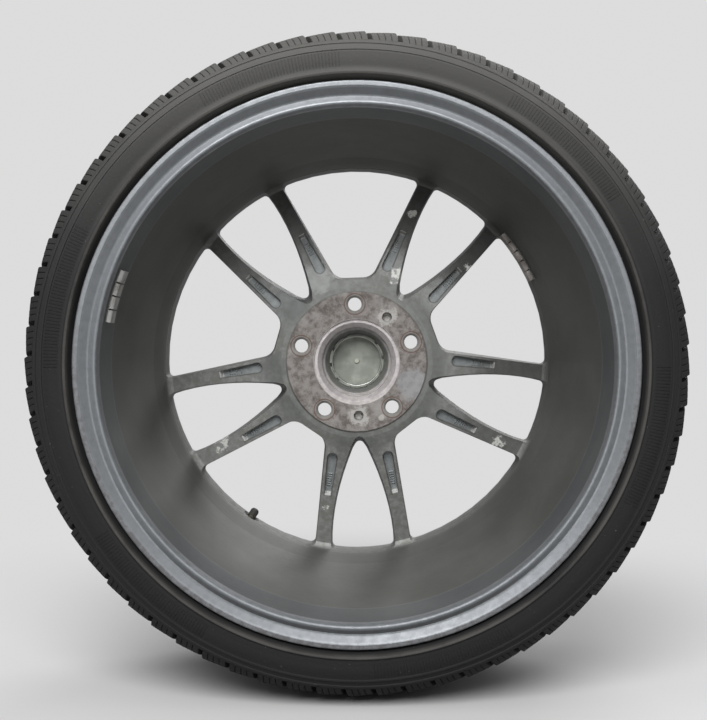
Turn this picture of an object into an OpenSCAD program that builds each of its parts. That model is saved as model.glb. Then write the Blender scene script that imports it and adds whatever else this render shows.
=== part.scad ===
// Alloy car wheel with its low-profile winter tyre, in millimetres.
// The wheel stands upright: the axle runs along Y, the inboard side faces -Y
// and the outboard face looks along +Y. The origin is the rim's centre.

/* [Rim] */
// Diameter of the bead seats
rim_d = 482.6; // [457.2:0.2:508]
// Width between the two bead faces
rim_w = 228.6; // [222:0.1:242]
// Distance of the hub face from the rim's centre plane, towards the outboard side
hub_offset = 35; // [30:0.5:40]
// Height of each flange over its bead seat
flange_h = 17.5; // [16.5:0.1:18.5]
// Width of each flange outside its bead face
flange_w = 11; // [10:0.1:12]
// Depth of the groove turned into the side of each flange
flange_groove = 5.6; // [4:0.1:6]
// Metal under the bead seats
barrel_wall = 4.8; // [4:0.1:6]
// Depth of the drop well below the bead seats
well_depth = 21; // [19:0.1:23]
// Metal in the drop well
well_wall = 6; // [5:0.1:7]

/* [Spokes] */
// Number of spoke pairs, which is also the number of wheel bolts
pair_count = 5; // [5:1:5]
// Turn of the whole wheel from a wheel bolt straight up
roll = 2; // [-5:0.5:5]
// Radial distance from the bead seats in to the windows
window_inset = 35; // [33:0.5:38]
// Half the gap inside a spoke pair, at the rim
pair_half_gap = 34; // [31:0.5:37]
// Radius at which the gap inside a spoke pair begins
pair_gap_start = 90; // [88:0.5:93]
// Radius at which the wide windows begin
wide_start = 91; // [89:0.5:94]
// Width of a spoke at the rim
spoke_w = 18.5; // [16:0.5:22]
// Distance of a spoke's outer edge from its pair's centre line, at the hub
spoke_root = 39.5; // [37:0.5:41]
// Thickness of the spoke disc at the rim
spoke_t = 24; // [20:0.5:28]
// Draft angle of the window walls, which open towards the back
window_draft = 3; // [1:0.5:4]
// Width of the pocket in the back of a spoke, at its hub end
pocket_w = 11; // [9:0.5:12]
// Width of the pocket at its rim end
pocket_end_w = 7; // [6:0.5:8]
// Depth of the pocket
pocket_depth = 7; // [4:0.5:9]

/* [Hub] */
// Diameter of the centring bore
bore_d = 72.6; // [66:0.1:74]
// Length of the centring bore
bore_len = 12; // [10:0.5:13]
// Diameter of the hub pad
pad_d = 146; // [142:0.5:150]
// Pitch circle of the wheel bolts
bolt_pcd = 120; // [114.3:0.1:120]
// Diameter of the bolt holes
bolt_hole_d = 14; // [13:0.1:15]
// Diameter of the two locating holes
locating_d = 10; // [8:0.5:11]
// Pitch circle of the locating holes
locating_pcd = 112; // [108:0.5:116]
// Thickness of the hub from its pad to its front
hub_t = 49; // [46:0.5:52]

/* [Centre cap] */
// Diameter of the cap's disc
cap_d = 68; // [66:0.5:69]
// Thickness of the cap's disc
cap_t = 3.4; // [2.8:0.1:4]
// Diameter of the opening that the clips reach through
cap_bore_d = 57; // [55:0.5:59]
// Number of clips
clip_count = 10; // [8:1:12]

/* [Tyre] */
// Height of the tyre's section over the bead seats
section_h = 73.2; // [71:0.1:78]
// Thickness of rubber and cords at the crown
crown_t = 12; // [10:0.5:14]
// Number of tread blocks round each shoulder
block_count = 68; // [60:1:72]
// Depth of the tread grooves
tread_depth = 7; // [5:0.5:8]
// Width of the grooves between the shoulder blocks
notch_w = 5; // [3:0.5:6]
// Slant of those grooves
notch_slant = 12; // [8:1:20]

/* [Valve] */
// Direction of the valve round the wheel, counted from a wide window
valve_window = 2; // [0:1:4]
// Diameter of the valve hole
valve_hole_d = 11.3; // [11:0.1:11.6]
// Metal left round the valve hole
valve_wall = 5; // [4:0.1:6]
// Length of the valve outside its seat, with its cap on
valve_len = 41; // [39:0.5:43]
// Diameter of the valve cap
valve_cap_d = 9.3; // [9:0.1:10]
// Length of the valve cap
valve_cap_len = 11; // [10:0.5:12]

/* [Balance weights] */
// Length of a weight near the inboard flange, along the axle
weight_len = 20; // [17:0.5:22]
// Length of a weight behind the disc, along the axle
outer_weight_len = 11; // [9:0.5:12]
// Thickness of a weight
weight_t = 4; // [3:0.1:5]
// Width of a weight along the barrel's round
weight_w = 11.6; // [10:0.1:12]
// Thickness of the adhesive tape
tape_t = 1; // [0.6:0.1:1.5]
// Distance from the inboard edge to the inboard weights
inner_weight_in = 22; // [18:0.5:26]

/* [Hidden] */

$fn = 96;
// Clearance of a piece that is seated or glued on a curved face
seat_gap = 0.05;
// How far a cut runs past the face that it opens
over = 1;

// Everything is drawn with the axle along Z and the inboard side up (z > 0),
// seen as from behind the car, and is turned upright by on_axle().
module on_axle() {
    rotate([90, 0, 0]) children();
}

// Rim stations: radii first, then heights along the axle
seat_r = rim_d / 2;
flange_r = seat_r + flange_h;
half_w = rim_w / 2;
edge_z = half_w + flange_w;
seat_w = 19;
seat_drop = seat_w * tan(5);
hump_h = 0.4;
hump_w = 7;
inner_r = seat_r - barrel_wall;
well_r = seat_r - well_depth;
window_r = seat_r - window_inset;
crease_z = half_w - 56.7;
crease_r = inner_r - 0.5;
well_z = crease_z - 111.6;
well_floor = 14;
ledge_r = window_r + 2.9;
ledge_z = well_z - 16;

// Hub and disc stations, negative towards the outboard face
pad_z = -hub_offset;
pad_r = pad_d / 2;
hub_front_z = pad_z - hub_t;
pair_step = 360 / pair_count;
pair_angle = 90 + roll - pair_step / 2;
spoke_back_z = ledge_z - 16;
spoke_front_z = spoke_back_z - spoke_t;
root_r = pad_r + 14;
root_z = pad_z - 4.5;

// Height of the spokes' back at a radius
function spoke_back(r) = root_z + (r - root_r) * (spoke_back_z - root_z) / (window_r - 7 - root_r);
// Radius of the barrel's inside at a height, inboard of the crease
function barrel_r(z) = lookup(z, [[crease_z, crease_r], [edge_z - 9, inner_r]]);

// Points of an arc from one angle to another
function arc(c, r, from, to, n) = [for (i = [0:n])
    c + r * [cos(from + (to - from) * i / n), sin(from + (to - from) * i / n)]];
// A point turned about the origin
function turned(p, a) = [p[0] * cos(a) - p[1] * sin(a), p[0] * sin(a) + p[1] * cos(a)];
// Points mirrored in the X axis, last one first
function mirrored(points) = [for (i = [len(points) - 1:-1:0]) [points[i][0], -points[i][1]]];
// Corner b of a, b, c rounded to radius r with n chords
function corner(a, b, c, r, n) =
    let (u = (a - b) / norm(a - b), w = (c - b) / norm(c - b))
    let (half = acos(u * w) / 2, reach = r / tan(half))
    let (mid = b + (u + w) / norm(u + w) * r / sin(half))
    let (p = b + u * reach - mid, q = b + w * reach - mid)
    let (from = atan2(p[1], p[0]), swing = atan2(q[1], q[0]) - from)
    let (to = from + (swing > 180 ? swing - 360 : swing < -180 ? swing + 360 : swing))
    arc(mid, r, from, to, n);

// Wheel

// Section of one flange, from the bead seat out to the lip and back to the barrel
curl_r = 9.5;
lip_r = 1.5;
function flange_points(n) = concat(
    [[seat_r, half_w]],
    arc([flange_r - curl_r, half_w + curl_r], curl_r, -90, -12, n),
    arc([flange_r - lip_r, edge_z - lip_r], lip_r, 0, 90, 3),
    arc([flange_r - 4.4, edge_z - 1], 1, 90, 150, 2),
    [[flange_r - 12, edge_z - flange_groove + 0.5], [flange_r - 13.6, edge_z - flange_groove]],
    arc([inner_r + 3, edge_z - 5], 2.2, 60, 150, 3),
    [[inner_r, edge_z - 9]]);

// Tyre side of the rim, from the inboard bead seat to the outboard one
function well_points() = [
    [seat_r, -half_w],
    [seat_r - seat_drop, -half_w + seat_w],
    [seat_r - seat_drop + 1 + hump_h, -half_w + seat_w + 0.5 * hump_w],
    [seat_r - seat_drop, -half_w + seat_w + hump_w],
    [well_r, well_z - well_floor],
    [well_r, well_z + 4],
    [crease_r + barrel_wall, crease_z],
    [seat_r - seat_drop, half_w - seat_w - hump_w],
    [seat_r - seat_drop + 1 + hump_h, half_w - seat_w - 0.5 * hump_w],
    [seat_r - seat_drop, half_w - seat_w]];

// Barrel's inside and the disc's back, from the inboard edge in to the bore
fillet_r = 9;
function back_points() = concat(
    [[crease_r, crease_z], [well_r - well_wall, well_z], [ledge_r, ledge_z]],
        arc([window_r - fillet_r + 1, spoke_back_z + fillet_r], fillet_r, 0, -75, 5),
        [[root_r, root_z], [root_r - 8, root_z + 2.6], [pad_r + 1.2, pad_z - 1.4],
        [pad_r, pad_z - 0.8], [pad_r - 0.8, pad_z]]);

// Disc's front and the outboard lip, from the bore out to the lip. The disc is
// flat on from the spokes' ends, a little outside the windows.
spoke_end_r = window_r + 3;
face_r = window_r + 11;
function front_points() = [
    [pad_r - 8, hub_front_z],
    [pad_r, hub_front_z - 1],
    [spoke_end_r, spoke_front_z],
    [face_r, spoke_front_z - 2],
    [seat_r - 6, -edge_z + 12],
    [flange_r - 14, -edge_z + 8.5],
    [flange_r - 7.5, -edge_z + 5]];

module rim_and_disc() {
    inboard = flange_points(6);
    outboard = arc([flange_r - 6, -edge_z + 1.5], 1.5, 200, 270, 3);
    outboard_lip = arc([flange_r - lip_r, -edge_z + lip_r], lip_r, -90, 0, 3);
    outboard_curl = arc([flange_r - curl_r, -half_w - curl_r], curl_r, 12, 90, 6);
    hole_r = cap_bore_d / 2;
    rotate_extrude($fn = 180)
        polygon(concat(well_points(), inboard, back_points(),
            [[hole_r, pad_z], [hole_r, hub_front_z]],
            front_points(), outboard, outboard_lip, outboard_curl));
}

// Outline of the gap inside a pair: a pointed arch, its tip rounded
arch_power = 1.83;
tip_r = 5;
arch_end = sqrt(pow(window_r, 2) - pow(pair_half_gap, 2));
function arch_v(u) = pair_half_gap * (1 - pow((arch_end - u) / (arch_end - pair_gap_start + 8), arch_power));
module pair_gap_outline() {
    steps = 7;
    first = pair_gap_start + tip_r + 2;
    rim_half = asin(pair_half_gap / window_r);
    side = [for (i = [0:steps]) let (u = first + (arch_end - 14 - first) * i / steps) [u, arch_v(u)]];
    rim_corner = [arch_end, pair_half_gap];
    rim_next = window_r * [cos(rim_half * 0.6), sin(rim_half * 0.6)];
    rounding = corner(side[steps], rim_corner, rim_next, 5, 4);
    rim_arc = [for (f = [0.6, 0.2, -0.2, -0.6]) window_r * [cos(rim_half * f), sin(rim_half * f)]];
    tip = arc([pair_gap_start + tip_r, 0], tip_r, 240, 120, 5);
    polygon(concat(tip, side, rounding, rim_arc, mirrored(concat(side, rounding))));
}

// Outline of a wide window, between two pairs, with its long sides parallel
// to the outer edges of the spokes beside it
rim_edge = [window_r - 7, pair_half_gap + spoke_w];
root_edge = [root_r + 10, spoke_root];
wide_a = turned([root_edge[0], root_edge[1]], -pair_step / 2);
wide_b = turned([rim_edge[0], rim_edge[1]], -pair_step / 2);
wide_slope = (wide_b[1] - wide_a[1]) / (wide_b[0] - wide_a[0]);
module wide_outline() {
    inner_v = wide_a[1] + wide_slope * (wide_start - wide_a[0]);
    rim_half = atan2(-wide_b[1], wide_b[0]);
    inner = [wide_start, -inner_v];
    outer = window_r * [cos(rim_half), sin(rim_half)];
    rim_next = window_r * [cos(rim_half * 0.8), sin(rim_half * 0.8)];
    side = concat(corner([wide_start, 0], inner, outer, 15, 6), corner(inner, outer, rim_next, 5, 4));
    rim_arc = [for (f = [0.8, 0.53, 0.27, 0, -0.27, -0.53, -0.8])
        window_r * [cos(rim_half * f), sin(rim_half * f)]];
    polygon(concat(side, rim_arc, mirrored(side)));
}

// Cutter with drafted walls: the outline is true just behind the disc's front,
// and the walls open out from there towards the back. The end at the rim stays
// put, and the long sides open by the draft angle.
draft_z = spoke_front_z + 6;
draft_below = 20;
draft_above = 90;
module drafted(half_v) {
    grow = tan(window_draft) / half_v;
    low = 1 - draft_below * grow;
    high = 1 + draft_above * grow;
    translate([window_r, 0, draft_z - draft_below])
        linear_extrude(height = draft_below + draft_above, slices = 1, scale = high / low)
        scale([low, low])
        translate([-window_r, 0])
        children();
}

module windows() {
    for (k = [0:pair_count - 1]) {
        rotate([0, 0, pair_angle + k * pair_step])
            drafted(pair_half_gap)
            pair_gap_outline();
        rotate([0, 0, pair_angle + (k + 0.5) * pair_step])
            drafted(-wide_b[1])
            wide_outline();
    }
}

// Pocket in the back of a spoke, its floor parallel to the spoke's back
pocket_start = root_r + 9;
pocket_len = 50;
pocket_v = 28.5;
pocket_turn = 9.5;
back_slope = atan((root_z - spoke_back_z) / (window_r - 7 - root_r));
module pocket() {
    r0 = pocket_w / 2;
    r1 = pocket_end_w / 2;
    translate([pocket_start, pocket_v, spoke_back(pocket_start)])
        rotate([0, back_slope, pocket_turn])
        translate([0, 0, -pocket_depth])
        linear_extrude(height = pocket_depth + 12)
        polygon(concat(arc([r0, 0], r0, 270, 90, 8),
            corner([r0, r0], [pocket_len, r1], [pocket_len, -r1], 1, 2),
            corner([pocket_len, r1], [pocket_len, -r1], [r0, -r0], 1, 2)));
}

module pockets() {
    for (k = [0:pair_count - 1])
        rotate([0, 0, pair_angle + k * pair_step]) {
            pocket();
            mirror([0, 1, 0]) pocket();
        }
}

// Bolt hole: chamfer at the pad, shank hole, 60 degree seat and wrench well
seat_cone_r = 12.4;
wrench_r = 14.5;
seat_z = pad_z - 11;
module bolt_hole() {
    r = bolt_hole_d / 2;
    cone_h = (seat_cone_r - r) / tan(30);
    translate([0, 0, hub_front_z - 2 * over]) cylinder(h = hub_t + 4 * over, r = r);
    translate([0, 0, pad_z - 2.2]) cylinder(h = 2.2 + over, r1 = r, r2 = r + 2.2 + over);
    translate([0, 0, seat_z - cone_h]) cylinder(h = cone_h, r1 = seat_cone_r, r2 = r);
    translate([0, 0, hub_front_z - 4]) cylinder(h = seat_z - cone_h - hub_front_z + 4, r = wrench_r);
}

module bolt_holes() {
    for (k = [0:pair_count - 1])
        rotate([0, 0, 90 + roll + k * pair_step])
            translate([bolt_pcd / 2, 0, 0]) bolt_hole();
}

locating_depth = 9;
module locating_holes() {
    for (k = [0, 3])
        rotate([0, 0, pair_angle + k * pair_step])
            translate([locating_pcd / 2, 0, pad_z - locating_depth])
            cylinder(h = locating_depth + over, d = locating_d);
}

// Stepped centre: entry chamfer, centring bore, ledge, cone for the clips, cap seat
entry_r = 44.4;
entry_step = 2;
chamfer = 4.6;
ledge_bore_r = 33.6;
bore_top = pad_z - entry_step - chamfer;
bore_end = bore_top - bore_len;
cone_end = bore_end - 12.5;
cap_seat_z = hub_front_z + cap_t + 1;
cap_seat_r = cap_d / 2 + 0.4;
module centre_bore() {
    r = bore_d / 2;
    translate([0, 0, pad_z - entry_step]) cylinder(h = entry_step + over, r = entry_r);
    translate([0, 0, bore_top]) cylinder(h = chamfer + 0.01, r1 = r, r2 = r + chamfer);
    translate([0, 0, bore_end]) cylinder(h = bore_len + 0.01, r = r);
    translate([0, 0, cone_end]) cylinder(h = bore_end - cone_end + 0.01, r1 = cap_bore_d / 2, r2 = ledge_bore_r);
    translate([0, 0, hub_front_z - over]) cylinder(h = cap_seat_z - hub_front_z + over, r = cap_seat_r);
}

// Valve place: the seat is spot-faced on the outboard slope of the well
valve_angle = 90 + roll + valve_window * pair_step;
valve_tilt = 40;
slope_mid_z = (well_z - well_floor - half_w + seat_w + hump_w) / 2;
slope_mid_r = (well_r + seat_r - seat_drop) / 2;
module at_valve() {
    rotate([0, 0, valve_angle])
        translate([slope_mid_r, 0, slope_mid_z])
        rotate([0, -90 - valve_tilt, 0])
        children();
}
spot_r = 10;
recess_r = 9;
module valve_hole() {
    at_valve() {
        translate([0, 0, -12]) cylinder(h = 12, r = spot_r);
        translate([0, 0, -over]) cylinder(h = valve_wall + 2 * over, d = valve_hole_d);
        translate([0, 0, valve_wall]) cylinder(h = valve_len + 12, r = recess_r);
    }
}

module wheel() {
    color("silver")
        on_axle()
        difference() {
            rim_and_disc();
            windows();
            pockets();
            bolt_holes();
            locating_holes();
            centre_bore();
            valve_hole();
        }
}

// Tyre

// Outer contour of half the section, from the bead heel over the sidewall to the crown
tyre_r = seat_r + section_h;
protector_r = flange_r + 6.5;
protector_z = edge_z + 5.7;
side_z = edge_z + 4.6;
rib_h = 0.9;
shoulder_r = tyre_r - 9;
shoulder_z = edge_z - 15;
wall_end = shoulder_r - 7;
// Radius at a share of the way up the sidewall, over the protector band
function wall_r(share) = protector_r + share * (wall_end - protector_r);
function outer_points() = concat(
    [[seat_r - seat_drop + seat_gap, half_w - seat_w + 0.5],
    [seat_r + seat_gap, half_w - seat_gap],
    [flange_r - curl_r, half_w - seat_gap]],
    arc([flange_r - curl_r, half_w + curl_r], curl_r + seat_gap, -75, -20, 4),
    [[flange_r + 1.2, edge_z - 6],
    [flange_r + 3.2, edge_z - 2]],
    arc([protector_r, protector_z - 2], 2, 170, 20, 4),
    [[wall_r(0.135), side_z - 0.6],
    [wall_r(0.36), side_z],
    [wall_r(0.587), side_z - 1.2],
    [wall_r(0.61), side_z - 1.2 + rib_h],
    [wall_r(0.65), side_z - 1.5 + rib_h],
    [wall_r(0.67), side_z - 2.2],
    [wall_r(0.77), side_z - 3.6],
    [wall_r(0.795), side_z - 3.8 + rib_h],
    [wall_r(0.837), side_z - 4.4 + rib_h],
    [wall_r(0.855), side_z - 5.4]],
    [[wall_end, shoulder_z + 10.5],
    [shoulder_r - 3.2, shoulder_z + 5.6],
    [shoulder_r, shoulder_z],
    [shoulder_r + 2.6, shoulder_z - 9],
    [tyre_r - 3.4, shoulder_z - 24]]);
function inner_points() = [
    [seat_r + 8, half_w - seat_w + 1.5],
    [seat_r + 15, half_w - 9],
    [wall_r(0.12), side_z - 9.5],
    [wall_r(0.48), side_z - 8.5],
    [wall_r(0.81), side_z - 14],
    [shoulder_r - 10, shoulder_z - 6],
    [tyre_r - 3.4 - crown_t, shoulder_z - 30]];

// Round grooves: half-section points that dip into the crown
groove_w = 9;
groove_at = [21, 60];
crown_drop = 0.0006;
function crown_r(z) = tyre_r - crown_drop * z * z;
function groove_points(z) = [
    [crown_r(z + groove_w / 2), z + groove_w / 2],
    [crown_r(z) - tread_depth, z + groove_w / 2 - 1.6],
    [crown_r(z) - tread_depth, z - groove_w / 2 + 1.6],
    [crown_r(z - groove_w / 2), z - groove_w / 2]];
function crown_points() = concat(groove_points(groove_at[1]), groove_points(groove_at[0]));

module tyre_body() {
    half_outer = concat(outer_points(), crown_points());
    half_inner = concat([[tyre_r - crown_t, 0]], [for (i = [len(inner_points()) - 1:-1:0]) inner_points()[i]]);
    rotate_extrude($fn = 180)
        polygon(concat(half_outer, mirrored(half_outer), mirrored(half_inner), half_inner));
}

// Slanted grooves between the shoulder blocks, running out over the shoulder
notch_len = 60;
module shoulder_notch() {
    translate([crown_r(groove_at[1]) - tread_depth, 0, groove_at[1]])
        rotate([0, -9, 0])
        rotate([notch_slant, 0, 0])
        translate([0, -notch_w / 2, 0])
        cube([20, notch_w, notch_len]);
}
module shoulder_notches() {
    for (k = [0:block_count - 1]) {
        rotate([0, 0, k * 360 / block_count]) shoulder_notch();
        rotate([0, 0, (k + 0.5) * 360 / block_count]) mirror([0, 0, 1]) shoulder_notch();
    }
}

module tyre() {
    color([0.12, 0.12, 0.13])
        on_axle()
        difference() {
            tyre_body();
            shoulder_notches();
        }
}

// Centre cap: a disc with a clipped skirt, a wire ring inside the skirt and a plain badge
skirt_r = cap_bore_d / 2 - 0.3;
skirt_t = 1.4;
hook = 0.8;
hook_z = cone_end + 2.6;
cap_front_z = cap_seat_z - seat_gap - cap_t;
badge_r = cap_d / 2 - 4;
badge_t = 0.8;
wire_r = 0.6;
wire_z = cone_end - 1;
clip_gap = 4;
clip_foot = 4;
badge_play = 0.3;
badge_z = cap_front_z + 0.5;
cap_bevel = 1.5;
cap_floor = 1.2;
// Moulding pip in the middle of the cap's back
pip_r = 3;
pip_h = 2.2;
module centre_cap() {
    skirt_in = skirt_r - skirt_t;
    badge_back = badge_z + badge_t;
    color([0.62, 0.64, 0.58])
        on_axle()
        difference() {
            rotate_extrude($fn = 120)
                polygon([[0, badge_back], [badge_r + badge_play, badge_back],
                    [badge_r + badge_play, badge_z], [cap_d / 2 - cap_bevel, cap_front_z],
                    [cap_d / 2, cap_front_z + 0.8 * cap_bevel], [cap_d / 2, cap_seat_z - seat_gap],
                    [skirt_r, cap_seat_z - seat_gap], [skirt_r, hook_z - 2.8 * hook],
                    [skirt_r + hook, hook_z - 1.8 * hook], [skirt_r + hook, hook_z - hook],
                    [skirt_r - 0.5 * hook, hook_z + hook], [skirt_in, hook_z + hook],
                    [skirt_in, wire_z + 1.2 * wire_r], [skirt_in + 0.8 * wire_r, wire_z],
                    [skirt_in, wire_z - 1.2 * wire_r],
                    [skirt_in, cap_seat_z + cap_floor], [pip_r, cap_seat_z + 0.3 * cap_floor],
                    [pip_r, cap_seat_z + 0.7 * pip_h], [0.7 * pip_r, cap_seat_z + pip_h],
                    [0, cap_seat_z + pip_h]]);
            for (k = [0:clip_count - 1])
                rotate([0, 0, 8 + k * 360 / clip_count])
                    translate([skirt_in - over, -clip_gap / 2, cap_seat_z + clip_foot])
                    cube([skirt_t + hook + 2 * over, clip_gap, hook_z + over - cap_seat_z]);
        }
}

module cap_spring_ring() {
    color("gainsboro")
        on_axle()
        translate([0, 0, wire_z])
        rotate_extrude()
        translate([skirt_r - skirt_t - wire_r - seat_gap, 0])
        circle(r = wire_r, $fn = 24);
}

module cap_badge() {
    color("gainsboro")
        on_axle()
        translate([0, 0, badge_z])
        cylinder(h = badge_t - seat_gap, r = badge_r);
}

// Valve: z = 0 is the seat in the tyre, and z grows towards the cap
stem_r = 3.85;
stem_bore_r = 2.6;
rubber_top = 28;
stem_top = valve_len - 3.4;
foot_r = 9.4;
foot_h = 3.2;
module valve_rubber() {
    color([0.1, 0.1, 0.1])
        on_axle() at_valve()
        difference() {
            rotate_extrude()
                polygon([[0, -foot_h], [foot_r - 1, -foot_h], [foot_r, -foot_h + 1], [foot_r, -seat_gap],
                    [valve_hole_d / 2 - seat_gap, -seat_gap],
                    [valve_hole_d / 2 - seat_gap, valve_wall + seat_gap],
                    [7.6, valve_wall + seat_gap], [7.6, valve_wall + 2], [6.4, valve_wall + 6],
                    [5.4, rubber_top - 6], [4.9, rubber_top], [0, rubber_top]]);
            translate([0, 0, -foot_h - over]) cylinder(h = rubber_top + foot_h + 2 * over, r = 3);
        }
}

module valve_stem() {
    color("goldenrod")
        on_axle() at_valve()
        difference() {
            rotate_extrude()
                polygon([[0, 0.5], [3 - seat_gap, 0.5], [3 - seat_gap, rubber_top + seat_gap],
                    [stem_r, rubber_top + seat_gap], [stem_r, stem_top - 0.6],
                    [stem_r - 0.6, stem_top], [0, stem_top]]);
            translate([0, 0, -over]) cylinder(h = stem_top + 2 * over, r = stem_bore_r);
        }
}

// Core: a screwed barrel, the seal under it, and a sprung pin that is pushed in
// to let air out. The pin's collar rides in the barrel over the spring.
core_top = stem_top - 1.4;
core_len = 8.5;
core_end = core_top - core_len;
core_bore_r = 1.5;
core_ledge = 1.5;
pin_r = 0.55;
pin_fit = 0.05;
pin_travel = 1.2;
seal_h = 2;
slot_w = 1.1;
module valve_core_body() {
    color("goldenrod")
        on_axle() at_valve()
        difference() {
            translate([0, 0, core_end]) cylinder(h = core_len, r = stem_bore_r - seat_gap);
            translate([0, 0, core_end + core_ledge]) cylinder(h = core_len, r = core_bore_r);
            translate([0, 0, core_end - over]) cylinder(h = core_ledge + 2 * over, r = pin_r + pin_fit);
            translate([-stem_bore_r, -slot_w / 2, core_top - 2]) cube([2 * stem_bore_r, slot_w, 3]);
        }
}

module valve_core_seal() {
    color([0.55, 0.1, 0.08])
        on_axle() at_valve()
        difference() {
            translate([0, 0, core_end - seal_h - seat_gap]) cylinder(h = seal_h, r = stem_bore_r - seat_gap);
            translate([0, 0, core_end - seal_h - over]) cylinder(h = seal_h + 2 * over, r = core_bore_r);
        }
}

plunger_r = 2.3;
plunger_h = 2;
plunger_top = core_end - seal_h - 2 * seat_gap;
collar_r = 1.4;
collar_h = 0.8;
collar_z = core_top - 2.2;
module valve_core_pin() {
    color("goldenrod")
        on_axle() at_valve()
        rotate_extrude()
        polygon([[0, plunger_top - plunger_h], [1.2, plunger_top - plunger_h],
            [plunger_r, plunger_top - 1.2], [plunger_r, plunger_top], [pin_r, plunger_top],
            [pin_r, collar_z], [collar_r, collar_z], [collar_r, collar_z + collar_h],
            [pin_r, collar_z + collar_h], [pin_r, core_top + 0.4], [pin_r - 0.2, core_top + 0.6],
            [0, core_top + 0.6]]);
}

// Spring on the barrel's ledge, drawn at the length that it has with the pin
// pushed in: a six-sided wire swept along a helix
spring_turns = 3;
spring_r = 1.05;
spring_wire_r = 0.2;
spring_z = core_end + core_ledge + 0.02;
spring_len = collar_z - pin_travel - spring_z - 0.1;
spring_steps = 12;
spring_sides = 6;
function spring_ring(i) =
    let (a = i * 360 / spring_steps)
    let (rise = (spring_len - 2 * spring_wire_r) / (spring_turns * spring_steps))
    [for (s = [0:spring_sides - 1]) let (b = s * 360 / spring_sides, r = spring_r + spring_wire_r * cos(b))
        [r * cos(a), r * sin(a), spring_z + spring_wire_r * (1 + sin(b)) + i * rise]];
module valve_core_spring() {
    last = spring_turns * spring_steps;
    points = [for (i = [0:last]) each spring_ring(i)];
    sides = [for (i = [0:last - 1]) for (s = [0:spring_sides - 1])
        let (a = i * spring_sides + s, b = i * spring_sides + (s + 1) % spring_sides)
        each [[a, a + spring_sides, b + spring_sides], [a, b + spring_sides, b]]];
    fan = [for (s = [1:spring_sides - 2]) [0, s, s + 1]];
    ends = concat(fan, [for (f = fan) [for (v = [f[0], f[2], f[1]]) last * spring_sides + v]]);
    color("silver")
        on_axle() at_valve()
        polyhedron(points, concat(sides, ends));
}

// Cap: screwed on the stem, with a seal washer in its end
cap_wall_top = 2.4;
knurl_count = 12;
module valve_cap() {
    start = valve_len - valve_cap_len;
    r = valve_cap_d / 2;
    color([0.07, 0.07, 0.07])
        on_axle() at_valve()
        difference() {
            rotate_extrude()
                polygon([[0, start], [r, start], [r, valve_len - 2.6], [r - 0.7, valve_len - 0.9],
                    [r - 2.2, valve_len], [0, valve_len]]);
            translate([0, 0, start - over])
                cylinder(h = valve_cap_len - cap_wall_top + over, r = stem_r + pin_fit);
            for (k = [0:knurl_count - 1])
                rotate([0, 0, k * 360 / knurl_count])
                    translate([r + 0.35, 0, start - over])
                    cylinder(h = 7.5, r = 0.6, $fn = 16);
        }
}

module valve_cap_seal() {
    color([0.25, 0.25, 0.25])
        on_axle() at_valve()
        translate([0, 0, stem_top + seat_gap])
        cylinder(h = valve_len - cap_wall_top - stem_top - 2 * seat_gap, r = stem_r - 0.4);
}

// Balance weights: bevelled tiles on a strip of tape, glued to the barrel
module ring_piece(from, to, points) {
    rotate([0, 0, from])
        rotate_extrude(angle = to - from, $fn = 360)
        polygon(points);
}
glue_gap = 0.3;
// Section of the tape: its outer side follows the seat, its inner side is straight
function tape_points(seat) =
    let (last = seat[len(seat) - 1])
    concat([for (p = seat) [p[0] - glue_gap, p[1]]],
        [for (p = [last, seat[0]]) [p[0] - glue_gap - tape_t, p[1]]]);
function weight_points(seat) =
    let (last = seat[len(seat) - 1], z1 = seat[0][1], z0 = last[1])
    let (r0 = last[0] - glue_gap - tape_t - seat_gap, r1 = seat[0][0] - glue_gap - tape_t - seat_gap)
    [[r0, z0], [r1, z1], [r1 - 0.5 * weight_t, z1], [r1 - 0.9 * weight_t, z1 - 1.2],
        [r1 - weight_t, z1 - 3], [r0 - weight_t, z0 + 3], [r0 - 0.9 * weight_t, z0 + 1.2],
        [r0 - 0.5 * weight_t, z0]];

// Seats from their inboard end to their outboard end: the barrel near the
// inboard flange, and the ledge with the fillet behind the disc
inner_z1 = edge_z - inner_weight_in;
inner_z0 = inner_z1 - weight_len;
inner_seat = [[barrel_r(inner_z1), inner_z1], [barrel_r(inner_z0), inner_z0]];
outer_z0 = ledge_z - outer_weight_len;
fillet_z = spoke_back_z + fillet_r;
fillet_end = window_r + 1 - fillet_r + sqrt(pow(fillet_r, 2) - pow(outer_z0 - fillet_z, 2));
outer_seat = [[ledge_r, ledge_z], [window_r + 1, fillet_z], [fillet_end, outer_z0]];
// Weights in each row, the direction of its first one and the step between them
inner_count = 4;
inner_first = 159.2;
inner_pitch = 3.15;
outer_count = 5;
outer_first = 26.3;
outer_pitch = 3.3;
weight_gap = 0.8;
module weight(first, pitch, seat, i) {
    a = first + i * pitch;
    half = min(weight_w / 2, pitch / 2 * PI / 180 * seat[0][0] - weight_gap / 2) / seat[0][0] * 180 / PI;
    color([0.6, 0.6, 0.6])
        on_axle()
        ring_piece(a - half, a + half, weight_points(seat));
}
module weight_tape(first, pitch, seat, count) {
    half = weight_w / 2 / seat[0][0] * 180 / PI;
    color([0.9, 0.9, 0.88])
        on_axle()
        ring_piece(first - half, first + (count - 1) * pitch + half, tape_points(seat));
}
module inner_weight(i) {
    weight(inner_first, inner_pitch, inner_seat, i);
}
module outer_weight(i) {
    weight(outer_first, outer_pitch, outer_seat, i);
}

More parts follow.
